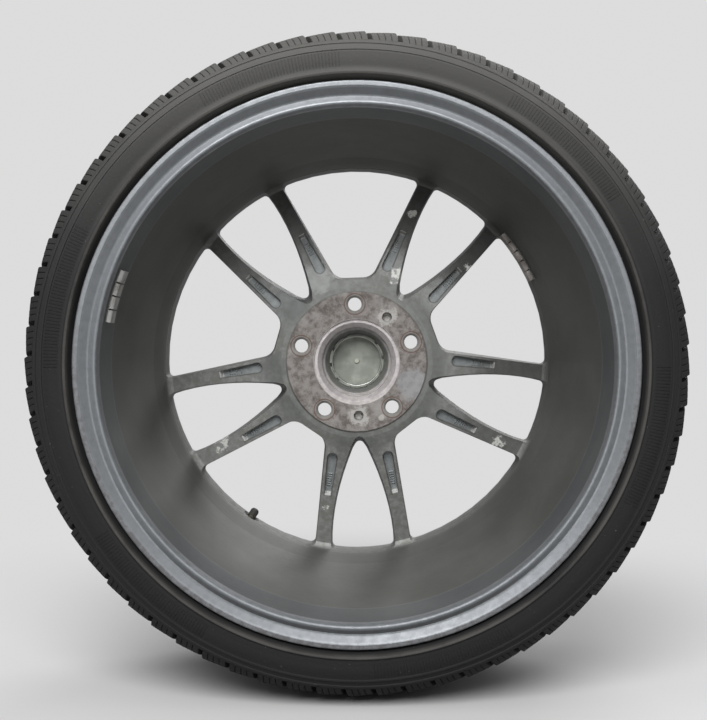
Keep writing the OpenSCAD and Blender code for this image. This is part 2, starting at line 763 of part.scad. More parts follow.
wheel();
tyre();
centre_cap();
cap_spring_ring();
cap_badge();
valve_rubber();
valve_stem();
valve_core_body();
valve_core_seal();
valve_core_pin();
valve_core_spring();
valve_cap();
valve_cap_seal();
weight_tape(inner_first, inner_pitch, inner_seat, inner_count);  // inner_weight_tape
inner_weight(0);  // inner_weight_1
inner_weight(1);  // inner_weight_2
inner_weight(2);  // inner_weight_3
inner_weight(3);  // inner_weight_4
weight_tape(outer_first, outer_pitch, outer_seat, outer_count);  // outer_weight_tape
outer_weight(0);  // outer_weight_1
outer_weight(1);  // outer_weight_2
outer_weight(2);  // outer_weight_3
outer_weight(3);  // outer_weight_4
outer_weight(4);  // outer_weight_5
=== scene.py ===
from math import cos, radians, sin, tau

import bmesh
import bpy
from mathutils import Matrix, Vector


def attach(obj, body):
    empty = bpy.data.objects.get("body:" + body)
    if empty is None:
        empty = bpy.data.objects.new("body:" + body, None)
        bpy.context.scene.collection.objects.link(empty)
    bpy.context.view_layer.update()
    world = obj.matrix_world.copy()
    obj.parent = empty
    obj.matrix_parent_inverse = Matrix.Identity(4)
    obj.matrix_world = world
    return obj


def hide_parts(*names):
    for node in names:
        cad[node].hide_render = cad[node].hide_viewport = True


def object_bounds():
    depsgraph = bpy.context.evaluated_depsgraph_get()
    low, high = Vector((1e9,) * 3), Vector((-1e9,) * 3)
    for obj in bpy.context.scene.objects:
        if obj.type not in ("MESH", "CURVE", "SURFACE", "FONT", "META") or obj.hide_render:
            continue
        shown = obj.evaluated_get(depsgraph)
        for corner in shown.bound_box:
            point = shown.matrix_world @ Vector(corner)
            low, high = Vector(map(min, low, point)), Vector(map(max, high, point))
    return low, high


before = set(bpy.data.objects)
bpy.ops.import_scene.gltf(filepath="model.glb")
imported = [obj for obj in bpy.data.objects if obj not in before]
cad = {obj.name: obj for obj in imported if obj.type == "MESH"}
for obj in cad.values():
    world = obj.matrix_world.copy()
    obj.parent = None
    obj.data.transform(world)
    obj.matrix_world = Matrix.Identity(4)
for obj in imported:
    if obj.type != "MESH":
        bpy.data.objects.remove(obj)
cad_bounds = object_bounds()

# The view: the wheel stands upright with its inboard side towards the camera,
# which is a little over the axle and looks slightly down.
LENS = 60.15
CAMERA_PLACE = (0.0, -1.2143, 0.0353)
LOOKS_DOWN = 1.53
LOOKS_LEFT = 0.157
camera_data = bpy.data.cameras.new("camera")
camera_data.lens = LENS
camera_data.sensor_width = 36.0
camera_data.clip_end = 20.0
camera = bpy.data.objects.new("camera", camera_data)
camera.location = CAMERA_PLACE
camera.rotation_euler = (radians(90.0 - LOOKS_DOWN), 0.0, radians(LOOKS_LEFT))
bpy.context.collection.objects.link(camera)
scene = bpy.context.scene
scene.camera = camera
scene.view_settings.view_transform = "Standard"

# The floor: a pale sheet of paper under the tyre and all round, with the same
# tone to the horizon, lit by two soft lamps and an even sky. It is the first
# thing with a finish, so what makes a finish is defined here.
FLOOR_TONE = (0.72, 0.72, 0.72)
PAPER_SEEN = (0.58, 0.58, 0.58)
PAPER_LIT = (0.38, 0.38, 0.38)
FLOOR_REACH = 9
FADES_OUT = (0.42, 0.95)
SKY_BRIGHTNESS = {"From Min": -0.1, "From Max": 0.7, "To Min": 0.08, "To Max": 0.75}


def distance(a, b):
    return (a * a + b * b) ** 0.5


class Sum:
    """A number that varies over a surface, for use in Python sums."""

    def __init__(self, finish, socket):
        self.finish = finish
        self.socket = socket

    def __add__(self, other):
        return self.finish.sum("ADD", self, other)

    def __sub__(self, other):
        return self.finish.sum("SUBTRACT", self, other)

    def __rsub__(self, other):
        return self.finish.sum("SUBTRACT", other, self)

    def __mul__(self, other):
        return self.finish.sum("MULTIPLY", self, other)

    def __truediv__(self, other):
        return self.finish.sum("DIVIDE", self, other)

    def __pow__(self, other):
        return self.finish.sum("POWER", self, other)

    __radd__ = __add__
    __rmul__ = __mul__


class Finish:
    """A material in the making. at is the place on the piece, in metres, radius is
    the distance from the axle, and facing is the way the surface looks."""

    def __init__(self, name, specular=0.5):
        self.material = bpy.data.materials.new(name)
        self.material.use_nodes = True
        self.tree = self.material.node_tree
        self.shader = self.tree.nodes["Principled BSDF"]
        self.shader.inputs["Specular IOR Level"].default_value = specular
        place = self.node("ShaderNodeTexCoord").outputs
        self.at = place["Object"]
        self.x, self.y, self.z = self.parts(self.at)
        self.facing = self.parts(place["Normal"])
        self.radius = distance(self.x, self.z)

    def node(self, kind, settings=(), **inputs):
        """A new node. An input is named, or is i and its number."""
        made = self.tree.nodes.new(kind)
        for key, value in dict(settings).items():
            setattr(made, key, value)
        for key, value in inputs.items():
            self.feed(made.inputs[int(key[1:]) if key[1:].isdigit() else key], value)
        return made

    def feed(self, socket, value):
        value = value.socket if isinstance(value, Sum) else value
        if isinstance(value, bpy.types.NodeSocket):
            self.tree.links.new(value, socket)
        elif socket.type == "RGBA":
            socket.default_value = (*value, 1.0)
        else:
            socket.default_value = value

    def sum(self, operation, *terms):
        inputs = {f"i{n}": term for n, term in enumerate(terms)}
        made = self.node("ShaderNodeMath", {"operation": operation}, **inputs)
        return Sum(self, made.outputs[0])

    def parts(self, vector):
        made = self.node("ShaderNodeSeparateXYZ", i0=vector)
        return [Sum(self, part) for part in made.outputs]

    def span(self, value, low, high):
        """0 at low and 1 at high, with a soft step between."""
        made = self.node("ShaderNodeMapRange", {"interpolation_type": "SMOOTHSTEP"},
                         Value=value, i1=low, i2=high)
        return Sum(self, made.outputs[0])

    def band(self, value, rise, fall):
        """1 between a rise and a fall, each given by its two ends."""
        return self.span(value, *rise) * self.span(value, *fall)

    def stripe(self, value, middle, edge, core):
        """1 within core of the middle value, fading to 0 at edge."""
        return self.span(self.sum("ABSOLUTE", value - middle), edge, core)

    def blot(self, x, z, size, ragged=0.0):
        """1 at a place on the wheel's side, fading and ragged towards size."""
        away = distance(self.x - x, self.z - z)
        return self.span(away + ragged, size, size * 0.6)

    def fold(self, start, half):
        """The angle from the nearest of the lines round the axle, the first of which
        is at the start angle and the next two halves on."""
        return self.sum("PINGPONG", self.sum("ARCTAN2", self.z, self.x) - start, half)

    def by_line(self, start, half):
        """How far out along the nearest of those lines a point is, and how far beside it."""
        angle = self.fold(start, half)
        return self.radius * self.sum("COSINE", angle), self.radius * self.sum("SINE", angle)

    def noise(self, scale, detail=2.0, rough=0.5, at=None):
        made = self.node("ShaderNodeTexNoise", Vector=at or self.at, Scale=scale,
                         Detail=detail, Roughness=rough)
        return Sum(self, made.outputs[0])

    def mix(self, share, first, second):
        made = self.node("ShaderNodeMix", {"data_type": "RGBA"}, i0=share, i6=first, i7=second)
        return made.outputs[2]

    def coats(self, colour, *coats):
        """A colour under coats of (share, colour), each over the last."""
        for share, over in coats:
            colour = self.mix(share, colour, over)
        return colour

    def relief(self, height, depth, radius=0.0):
        """Bump of a height from 0 to 1 that stands for depth metres, with edges
        rounded off by radius."""
        bump = self.node("ShaderNodeBump", Height=height, Distance=depth, Strength=1.0)
        if radius:
            bevel = self.node("ShaderNodeBevel", {"samples": 4}, Radius=radius)
            self.feed(bump.inputs["Normal"], bevel.outputs[0])
        self.feed(self.shader.inputs["Normal"], bump.outputs[0])

    def done(self, colour, roughness, metallic=0.0, coat=0.0):
        self.feed(self.shader.inputs["Base Color"], colour)
        self.feed(self.shader.inputs["Roughness"], roughness)
        self.feed(self.shader.inputs["Metallic"], metallic)
        self.feed(self.shader.inputs["Coat Weight"], coat)
        return self.material


floor_z = cad_bounds[0][2]
corners = [(x * FLOOR_REACH, y * FLOOR_REACH, floor_z)
           for x, y in ((-1, -1), (1, -1), (1, 1), (-1, 1))]
floor_mesh = bpy.data.meshes.new("floor")
floor_mesh.from_pydata(corners, [], [(0, 1, 2, 3)])
floor = bpy.data.objects.new("floor", floor_mesh)
bpy.context.collection.objects.link(floor)
paper = Finish("floor paper", specular=0.1)
seen = paper.node("ShaderNodeLightPath").outputs["Is Camera Ray"]
paper.done(paper.mix(seen, PAPER_LIT, PAPER_SEEN), 0.9)
far = paper.span(distance(paper.x, paper.y), *FADES_OUT)
glow = paper.node("ShaderNodeEmission", Color=FLOOR_TONE)
fade = paper.node("ShaderNodeMixShader", i0=far * Sum(paper, seen),
                  i1=paper.shader.outputs[0], i2=glow.outputs[0])
paper.feed(paper.tree.nodes["Material Output"].inputs["Surface"], fade.outputs[0])
floor_mesh.materials.append(paper.material)

world = bpy.data.worlds.new("studio")
scene.world = world
world.use_nodes = True
sky = world.node_tree
rays = sky.nodes.new("ShaderNodeLightPath")
place = sky.nodes.new("ShaderNodeTexCoord")
upward = sky.nodes.new("ShaderNodeSeparateXYZ")
ceiling = sky.nodes.new("ShaderNodeMapRange")
for socket, value in SKY_BRIGHTNESS.items():
    ceiling.inputs[socket].default_value = value
open_sky = sky.nodes.new("ShaderNodeBackground")
seen_sky = sky.nodes.new("ShaderNodeBackground")
seen_sky.inputs["Color"].default_value = (*FLOOR_TONE, 1.0)
either = sky.nodes.new("ShaderNodeMath")
either.operation = "MAXIMUM"
share = sky.nodes.new("ShaderNodeMixShader")
for output, socket in (
        (place.outputs["Generated"], upward.inputs[0]),
        (upward.outputs["Z"], ceiling.inputs["Value"]),
        (ceiling.outputs[0], open_sky.inputs["Strength"]),
        (rays.outputs["Is Camera Ray"], either.inputs[0]),
        (rays.outputs["Is Transmission Ray"], either.inputs[1]),
        (either.outputs[0], share.inputs[0]),
        (open_sky.outputs[0], share.inputs[1]),
        (seen_sky.outputs[0], share.inputs[2]),
        (share.outputs[0], sky.nodes["World Output"].inputs["Surface"])):
    sky.links.new(output, socket)


def lamp(name, size, power, place):
    """A round soft lamp that looks at the wheel's middle."""
    data = bpy.data.lights.new(name, "AREA")
    data.shape = "DISK"
    data.size = size
    data.energy = power
    made = bpy.data.objects.new(name, data)
    made.location = place
    made.rotation_euler = (-Vector(place)).to_track_quat("-Z", "Y").to_euler()
    bpy.context.collection.objects.link(made)


lamp("key lamp", size=1.8, power=92.0, place=(-0.3, -2.2, 1.65))
lamp("back lamp", size=1.6, power=34.0, place=(0.9, 2.3, 1.7))

# The wheel: one aluminium casting with a turned rim, painted silver and dulled
# by brake dust, with a bare hub pad that has corroded on the hub. Each kind of
# surface is found by its radius and its place along the axle.
FLANGE_EDGE, FLANGE_PLANE = (0.2345, 0.2365), (-0.1085, -0.1125)
BARREL_EDGE, BARREL_PLANE = (0.2045, 0.2085), (0.1, 0.092)
PAD_EDGE, PAD_PLANE = (0.0738, 0.0724), (0.0455, 0.0445)
RING_EDGE, RING_PLANE = (0.0452, 0.0443), (0.058, 0.05)
FACE_BEND, FACE_PLANE, FACE_SLOPE = 0.073, 0.085, 0.1834
SPOKE_PAIRS = 5
HALF_FIFTH = radians(180.0 / SPOKE_PAIRS)


def wear(name, material):
    """Gives a CAD node its material."""
    mesh = cad[name].data
    mesh.materials.clear()
    mesh.materials.append(material)


paint = Finish("dusty silver paint")
cloud = paint.noise(9.0, 4.0, 0.6)
fine = paint.noise(160.0, 3.0, 0.6)
grain = paint.noise(900.0, 2.0, 0.5)
ragged = (paint.noise(130.0, 4.0, 0.7) - 0.5) * 0.022
flange = paint.span(paint.y, *FLANGE_PLANE) * paint.span(paint.radius, *FLANGE_EDGE)
barrel = (paint.span(paint.radius, *BARREL_EDGE) * (1 - flange)
          * paint.span(paint.y, *BARREL_PLANE))
past_bend = paint.sum("MAXIMUM", paint.radius - FACE_BEND, -0.005)
face = paint.span(paint.y - (FACE_PLANE + FACE_SLOPE * past_bend), -0.0026, -0.0012)
pad = paint.span(paint.radius, *PAD_EDGE) * paint.span(paint.y, *PAD_PLANE)
ring = paint.span(paint.radius, *RING_EDGE) * paint.span(paint.y, *RING_PLANE)

# The spokes' paint: cloudy and dusty, with a painted shadow of the barrel that
# darkens the upper spokes towards the rim, painted shade in the drafted walls,
# and darker blue-grey and paler patches at listed places.
PAINT_DIM, PAINT_PALE = (0.25, 0.258, 0.25), (0.31, 0.318, 0.31)
ROAD_DUST = (0.2, 0.197, 0.185)
SPOKE_SHADOW_COLOUR = (0.035, 0.037, 0.033)
HUB_GRIME = (0.085, 0.09, 0.08)
WALL_SHADE = (0.06, 0.062, 0.055)
DARK_PATCH = (0.085, 0.095, 0.098)
PALE_PATCH = (0.36, 0.375, 0.37)
SHADOWED_WAY = (0.643, 0.766)
SHADOW_FROM, SHADOW_FULL = 0.097, 0.152
# Darker blue-grey patches and paler patches at listed places on the spokes.
DARK_PATCH_PLACES = ((-0.07, 0.0616, 0.024, 0.42), (-0.0876, -0.0073, 0.02, 0.4),
                (-0.073, -0.05, 0.022, 0.32), (0.0, -0.094, 0.03, 0.3),
                (0.073, -0.071, 0.026, 0.3))
PALE_PATCH_PLACES = ((-0.0416, 0.0867, 0.018), (0.037, 0.106, 0.016), (0.092, 0.07, 0.02))
# Painted shadow: the barrel's shadow darkens the upper spokes towards the rim.
toward = (paint.x * SHADOWED_WAY[0] + paint.z * SHADOWED_WAY[1]) / paint.radius
spoke_shadow = (0.74 * paint.span(paint.radius, SHADOW_FROM, SHADOW_FULL)
         * paint.span(toward, -1.0, 1.0))
# Painted shade: the drafted walls of the windows, darkened by their facing.
wall_shade_mask = (paint.stripe(paint.facing[1], 0.0, 0.55, 0.2)
         * paint.span(paint.radius, 0.08, 0.086))
spokes = paint.coats(
    PAINT_DIM,
    (paint.span(cloud, 0.3, 0.7), PAINT_PALE),
    (paint.span(fine + cloud * 0.5, 0.55, 0.95), ROAD_DUST),
    (spoke_shadow, SPOKE_SHADOW_COLOUR),
    (0.55 * paint.span(paint.radius, 0.1, 0.084), HUB_GRIME),
    (0.45 * wall_shade_mask, WALL_SHADE),
    *((depth * paint.blot(x, z, size, ragged), DARK_PATCH) for x, z, size, depth in DARK_PATCH_PLACES),
    *((0.4 * paint.blot(x, z, size, ragged), PALE_PATCH) for x, z, size in PALE_PATCH_PLACES))

# Each spoke has a sloping pocket at one place beside its pair's middle line. The
# pocket's floor is cleaner than the face round it, with a bright bar at its outer
# end, and its edge is darkened with painted shade.
PAIR_ANGLE = radians(56.0)
POCKET_TURN = radians(9.5)
POCKET_PLACE = (0.1008, 0.0293)
POCKET_HALF, POCKET_TAPER = 0.0053, 0.038
FLOOR_PALE, FLOOR_DIM = (0.3, 0.32, 0.325), (0.23, 0.245, 0.25)
BRIGHT_BAR = (0.62, 0.62, 0.6)
POCKET_EDGE_SHADE = (0.05, 0.052, 0.048)
outward, sideways = paint.by_line(PAIR_ANGLE, HALF_FIFTH)
outward, sideways = outward - POCKET_PLACE[0], sideways - POCKET_PLACE[1]
along = outward * cos(POCKET_TURN) + sideways * sin(POCKET_TURN)
across = sideways * cos(POCKET_TURN) - outward * sin(POCKET_TURN)
past_end = paint.sum("MINIMUM", along, 0.0)
beside = distance(past_end, across) - POCKET_HALF + POCKET_TAPER * along
pocket = paint.span(beside, 0.0, -0.0007) * paint.span(along, 0.042, 0.0414)
# Painted shade: a dark line round each pocket's edge.
pocket_rim_shade = paint.stripe(beside, 0.0, 0.0011, 0.0004) * paint.span(along, 0.044, 0.0425)
pocket_floor = paint.coats(
    FLOOR_PALE,
    (paint.span(fine, 0.35, 0.75), FLOOR_DIM),
    (0.8 * paint.span(along + fine * 0.002, 0.0377, 0.0395), BRIGHT_BAR))

# White corrosion has lifted the paint at a few places on the spokes. It lies
# over the pockets and the painted shade at their edges.
LIFTED = (0.72, 0.72, 0.69)
LIFTED_PLACES = ((-0.1427, -0.0878, 0.0075), (0.1516, -0.0867, 0.007),
                 (0.0425, 0.0905, 0.0095), (0.1195, 0.1005, 0.0045),
                 (0.059, 0.157, 0.0035), (-0.148, -0.094, 0.006),
                 (0.0305, -0.168, 0.0035), (-0.0335, -0.158, 0.003))
lifted = 0.0
for x, z, size in LIFTED_PLACES:
    lifted = paint.sum("MAXIMUM", lifted, paint.blot(x, z, size, ragged))
spokes = paint.coats(
    spokes,
    (pocket * (1 - 0.75 * spoke_shadow), pocket_floor),
    (0.45 * pocket_rim_shade, POCKET_EDGE_SHADE),
    (0.9 * lifted * paint.span(fine, 0.38, 0.52), LIFTED))

# Brake dust covers the barrel, bluer inboard of a turned crease, with a painted
# highlight line along the crease, and darker deep in the barrel towards the bottom.
# The flange is cleaner, with painted shade in its groove, strongest at the top, and
# at its foot towards the bottom, and its lip is scuffed.
CREASE = -0.0585
DUST_BROWN, DUST_BLUE = (0.078, 0.08, 0.072), (0.078, 0.085, 0.09)
PALE_DUST_AND_HIGHLIGHT, LOW_DEEP_DARK = (0.14, 0.14, 0.135), (0.01, 0.01, 0.01)
FLANGE_PALE, FLANGE_DIM = (0.235, 0.248, 0.262), (0.195, 0.205, 0.217)
FLANGE_SHADE = (0.05, 0.053, 0.055)
SCUFFED = (0.1, 0.092, 0.092)
GROOVE_RISE, GROOVE_FALL = (0.2445, 0.2475), (0.2535, 0.2518)
FOOT_RISE, FOOT_FALL = (0.2405, 0.2425), (0.2482, 0.2455)
LIP = (0.2532, 0.2542)
# Painted highlight: a pale line along the turned crease, mixed with pale dust patches.
crease_highlight = paint.stripe(paint.y, CREASE, 0.0026, 0.0008)
# Deep in the barrel the colour is darker towards the bottom.
brake_dust = paint.coats(
    DUST_BROWN,
    (paint.span(paint.y, -0.0565, CREASE), DUST_BLUE),
    (0.5 * paint.span(cloud + fine * 0.3, 0.45, 0.85) + 0.45 * crease_highlight, PALE_DUST_AND_HIGHLIGHT),
    (0.22 * paint.span(paint.y, -0.02, 0.03) * paint.span(paint.z, 0.0, -0.15), LOW_DEEP_DARK))
# Painted shade in the flange's groove, strongest at the top.
groove_shade = (paint.band(paint.radius, GROOVE_RISE, GROOVE_FALL) * flange
          * (0.14 + 0.38 * paint.span(paint.z, 0.05, 0.24)
             + 0.16 * paint.span(paint.z, -0.17, -0.24)))
# Painted shade at the flange's foot, towards the bottom.
foot_shade = paint.band(paint.radius, FOOT_RISE, FOOT_FALL) * flange
lip = paint.span(paint.radius, *LIP) * flange * paint.span(paint.z, 0.08, -0.05)
rim = paint.coats(
    spokes,
    (barrel, brake_dust),
    (flange, paint.mix(paint.span(fine, 0.3, 0.8), FLANGE_PALE, FLANGE_DIM)),
    (groove_shade, FLANGE_SHADE),
    (0.62 * foot_shade * paint.span(paint.z, -0.12, -0.23), FLANGE_SHADE),
    (lip * (0.25 + 0.35 * paint.span(fine, 0.4, 0.6)), SCUFFED))

# The hub pad is bare metal, rusty from the hub, with a ring of rust round each
# bolt hole and pale corrosion round the two locating holes.
BOLT_ANGLE, BOLT_CIRCLE = radians(92.0), 0.06
LOCATING_ANGLES, LOCATING_CIRCLE = (radians(56.0), radians(272.0)), 0.056
RUST_DARK, RUST_PALE = (0.105, 0.09, 0.082), (0.225, 0.208, 0.196)
SCALE = (0.31, 0.3, 0.285)
BLUISH, BLUISH_PLACE = (0.3, 0.31, 0.325), (0.0584, -0.024, 0.02)
PIT, PIT_PLACE = (0.45, 0.43, 0.4), (0.026, -0.0583, 0.0035)
BOLT_SEAT, BOLT_RUST = (0.21, 0.205, 0.19), (0.1, 0.05, 0.035)
HOLE_HALO, HOLE_RIM = (0.42, 0.41, 0.39), (0.08, 0.07, 0.06)
HOLE_FLOOR = (0.6, 0.585, 0.56)
rust = paint.noise(120.0, 5.0, 0.7)
scale = paint.noise(28.0, 4.0, 0.6)
bolt_u, bolt_v = paint.by_line(BOLT_ANGLE, HALF_FIFTH)
from_bolt = distance(bolt_u - BOLT_CIRCLE, bolt_v) + ragged * 0.02
corroded = paint.coats(
    RUST_DARK,
    (paint.span(rust, 0.35, 0.62), RUST_PALE),
    (0.6 * paint.span(scale, 0.52, 0.66), SCALE),
    (0.5 * paint.blot(*BLUISH_PLACE, ragged), BLUISH),
    (0.6 * paint.blot(*PIT_PLACE, ragged * 0.2), PIT),
    (0.6 * paint.span(from_bolt, 0.0105, 0.0095), BOLT_SEAT),
    (0.75 * paint.stripe(from_bolt, 0.0108, 0.0009, 0.0003), BOLT_RUST))
for angle in LOCATING_ANGLES:
    x, z = LOCATING_CIRCLE * cos(angle), LOCATING_CIRCLE * sin(angle)
    corroded = paint.coats(
        corroded,
        (0.75 * paint.blot(x, z, 0.012, ragged), HOLE_HALO),
        (0.6 * paint.blot(x, z, 0.0062), HOLE_RIM),
        (0.95 * paint.blot(x, z, 0.0052) * paint.span(paint.y, 0.037, 0.0395), HOLE_FLOOR))

# The ring round the centring bore is turned bright, and the outboard face is
# turned, lacquered and left bare.
RING_PALE, RING_DIM = (0.52, 0.49, 0.485), (0.4, 0.375, 0.37)
CUT_DIM, CUT_PALE, CUT_CLOUDED = (0.5, 0.51, 0.53), (0.6, 0.61, 0.63), (0.42, 0.42, 0.41)
from_axle = paint.node("ShaderNodeCombineXYZ", i0=paint.radius).outputs[0]
tool_lines = paint.noise(2600.0, 2.0, 0.5, at=from_axle)
cut_face = paint.coats(
    CUT_DIM,
    (paint.span(tool_lines, 0.3, 0.7), CUT_PALE),
    (0.35 * paint.span(cloud, 0.45, 0.8), CUT_CLOUDED))
wheel_colour = paint.coats(
    rim,
    (pad, corroded),
    (ring, paint.mix(paint.span(fine, 0.3, 0.7), RING_PALE, RING_DIM)),
    (face, cut_face))
paint.relief((grain * 0.3 + fine * 0.5) * (1 - face) + rust * 3.0 * pad
             + tool_lines * 0.12 * face, 0.00025, radius=0.0007)
silver_paint = paint.done(
    wheel_colour,
    roughness=0.5 + 0.2 * fine - 0.14 * flange - 0.24 * ring + 0.25 * pad - 0.25 * face,
    metallic=0.25 + 0.55 * ring + 0.3 * flange - 0.25 * pad,
    coat=0.6 * face)
wear("wheel", silver_paint)

# The tyre: rubber moulded and cured in one over its cords. Its carcass runs from
# bead to bead with bands and hatched fields on its sides, and the tread stands on
# it in rows of blocks that thin slits divide.
RUBBER_BLACK, RUBBER_DUSTY = (0.016, 0.016, 0.0163), (0.1, 0.098, 0.093)
BAND_BLACK = (0.002, 0.002, 0.002)
BAND_RISE, BAND_FALL = (0.267, 0.272), (0.2855, 0.2825)
BEAD_RIDGE, RIDGE_DUST = 0.2643, (0.075, 0.07, 0.064)
SPECK = (0.15, 0.145, 0.135)
rubber = Finish("tyre rubber", specular=0.25)
dust = rubber.noise(14.0, 4.0, 0.6)
speck = rubber.noise(420.0, 2.0, 0.6)
dusty_ridge = (rubber.stripe(rubber.radius, BEAD_RIDGE, 0.0022, 0.0008)
               * rubber.span(dust, 0.25, 0.6))
rubber_colour = rubber.coats(
    RUBBER_BLACK,
    (rubber.span(rubber.z + dust * 0.1, 0.09, 0.42), RUBBER_DUSTY),
    (0.38 * rubber.band(rubber.radius, BAND_RISE, BAND_FALL), BAND_BLACK),
    (0.7 * dusty_ridge, RIDGE_DUST),
    (rubber.span(speck, 0.74, 0.78), SPECK))
rubber.relief(speck, 0.0003)
tyre_rubber = rubber.done(rubber_colour, 0.62 + 0.2 * dust)

TREAD_RADIUS = 0.3145
TREAD_DEPTH = 0.007
CROWN_DROP = 0.6
PITCHES = 68
GROOVE_EDGES = (0.0165, 0.0255, 0.0555, 0.0645)
ROW_MARGIN = 0.0004
CENTRE_GAP, INNER_GAP, SHOULDER_GAP = 0.0022, 0.0028, 0.005
ZIGZAG = 0.0007
SLANT, SLANT_FROM = 0.2126, 0.06
CENTRE_SLANT = 0.25
SLICES = 4
HEEL_WEAR = 0.0016
CHAMFER = 0.0005
SLIT = 0.0006
BLOCK_ROOT = 0.0006
STEPS_ROUND, SHARP_FROM = 288, radians(32)
# The side, the lining and the shoulder as points of (radius, height).
SIDE = ((0.2397, 0.0958), (0.24135, 0.11425), (0.2493, 0.11425), (0.2518, 0.1146),
        (0.2539, 0.1154), (0.25575, 0.1168), (0.2572, 0.1185), (0.2583, 0.1205),
        (0.26, 0.1193), (0.262, 0.1233), (0.2633, 0.1289), (0.2636, 0.1300),
        (0.2644, 0.1307), (0.2655, 0.1310), (0.2667, 0.1304), (0.2673, 0.1297),
        (0.2698, 0.1293), (0.2735, 0.12975), (0.2773, 0.1299), (0.281, 0.1295),
        (0.2848, 0.1287), (0.2854, 0.1296), (0.2868, 0.1293), (0.2875, 0.1277),
        (0.2909, 0.1263), (0.2916, 0.127), (0.293, 0.1264), (0.2937, 0.1245),
        (0.2953, 0.1228), (0.2962, 0.1195))
LINING = ((0.2493, 0.0968), (0.2563, 0.1053), (0.2693, 0.1204), (0.2813, 0.1214),
          (0.2923, 0.1159), (0.2955, 0.1043), (0.2991, 0.0803), (0.3025, 0.0))
SHOULDER_EDGE, SHOULDER_TOP, SHOULDER_FOOT = 0.1232, 0.3120, 0.3051
SHOULDER = ((GROOVE_EDGES[3], SHOULDER_TOP), (0.0863, 0.3111), (0.1013, 0.3081),
            (0.1103, 0.3055), (0.1159, 0.3023), (0.1208, 0.2985), (SHOULDER_EDGE, 0.2950))
SHOULDER_FALL = 0.17
FLOOR_STATIONS = (0.119, 0.11, 0.1, 0.09, 0.08, 0.07, 0.0645, 0.0555, 0.045, 0.035,
                  0.0255, 0.0165, 0.0)


def between(x, points):
    """Height at x on a line through points."""
    for (x0, y0), (x1, y1) in zip(points, points[1:]):
        if x <= x1:
            return y0 + (y1 - y0) * max(0.0, (x - x0) / (x1 - x0))
    return points[-1][1]


def tread_top(across):
    across = abs(across)
    if across > GROOVE_EDGES[3]:
        return between(across, SHOULDER)
    return TREAD_RADIUS - CROWN_DROP * across * across


def tread_floor(across):
    across = abs(across)
    crown = TREAD_RADIUS - CROWN_DROP * across * across - TREAD_DEPTH
    if across > GROOVE_EDGES[3]:
        return min(crown, SHOULDER_FOOT - SHOULDER_FALL * (across - GROOVE_EDGES[3]))
    return crown


def as_object(name, verts, faces, material):
    mesh = bpy.data.meshes.new(name)
    mesh.from_pydata(verts, [], faces)
    work = bmesh.new()
    work.from_mesh(mesh)
    bmesh.ops.recalc_face_normals(work, faces=work.faces)
    work.to_mesh(mesh)
    work.free()
    mesh.materials.append(material)
    made = bpy.data.objects.new(name, mesh)
    bpy.context.collection.objects.link(made)
    return made


def round_axle(radius, height, angle):
    """A point at an angle round the axle, its height measured towards the camera."""
    return (radius * cos(angle), -height, radius * sin(angle))


def revolved(name, section, steps, material):
    """A closed section of (radius, height) turned round the axle."""
    count = len(section)
    verts = [round_axle(r, h, tau * k / steps) for k in range(steps) for r, h in section]
    faces = [(k * count + i, k * count + (i + 1) % count,
              (k + 1) % steps * count + (i + 1) % count, (k + 1) % steps * count + i)
             for k in range(steps) for i in range(count)]
    made = as_object(name, verts, faces, material)
    made.data.shade_smooth()
    made.data.set_sharp_from_angle(angle=SHARP_FROM)
    return made


half_section = [*SIDE, *((tread_floor(a), a) for a in FLOOR_STATIONS)]
outside = half_section + [(r, -a) for r, a in reversed(half_section[:-1])]
inside = [(r, -a) for r, a in LINING[:-1]] + [(r, a) for r, a in reversed(LINING)]
carcass = revolved("tyre_carcass", outside + inside, STEPS_ROUND, tyre_rubber)


def add_bar(verts, faces, rings):
    """Adds a closed bar whose skin runs through rings of points, capped at both ends."""
    first, count = len(verts), len(rings[0])
    for ring_points in rings:
        verts += ring_points
    for n in range(len(rings) - 1):
        low = first + n * count
        for i in range(count):
            j = (i + 1) % count
            faces.append((low + i, low + j, low + count + j, low + count + i))
    faces.append(tuple(range(first, first + count)))
    faces.append(tuple(range(len(verts) - count, len(verts))))


def add_slat(verts, faces, stations, start, end, shift, zig=0.0, worn=(0.0, 0.0)):
    """One slice of a tread block, from start to end round the tyre at each station
    across it, its top worn down by the two depths at its ends."""
    rings = []
    for n, across in enumerate(stations):
        bottom = tread_floor(across) - BLOCK_ROOT
        top = max(tread_top(across), bottom + 2 * CHAMFER)
        wave = zig * (-1) ** n
        low, high = start + shift(across) + wave, end + shift(across) + wave
        near, away = (max(top - w, bottom + CHAMFER) for w in worn)
        outline = ((low, bottom), (low, near - CHAMFER), (low + CHAMFER, near),
                   (high - CHAMFER, away), (high, away - CHAMFER), (high, bottom))
        rings.append([round_axle(r, across, at / TREAD_RADIUS) for at, r in outline])
    add_bar(verts, faces, rings)


def evenly(low, high, count):
    return [low + (high - low) * n / (count - 1) for n in range(count)]


def slanting(across):
    return SLANT * (SLANT_FROM - abs(across))


def centre_slanting(across):
    return CENTRE_SLANT * across


pitch = tau * TREAD_RADIUS / PITCHES
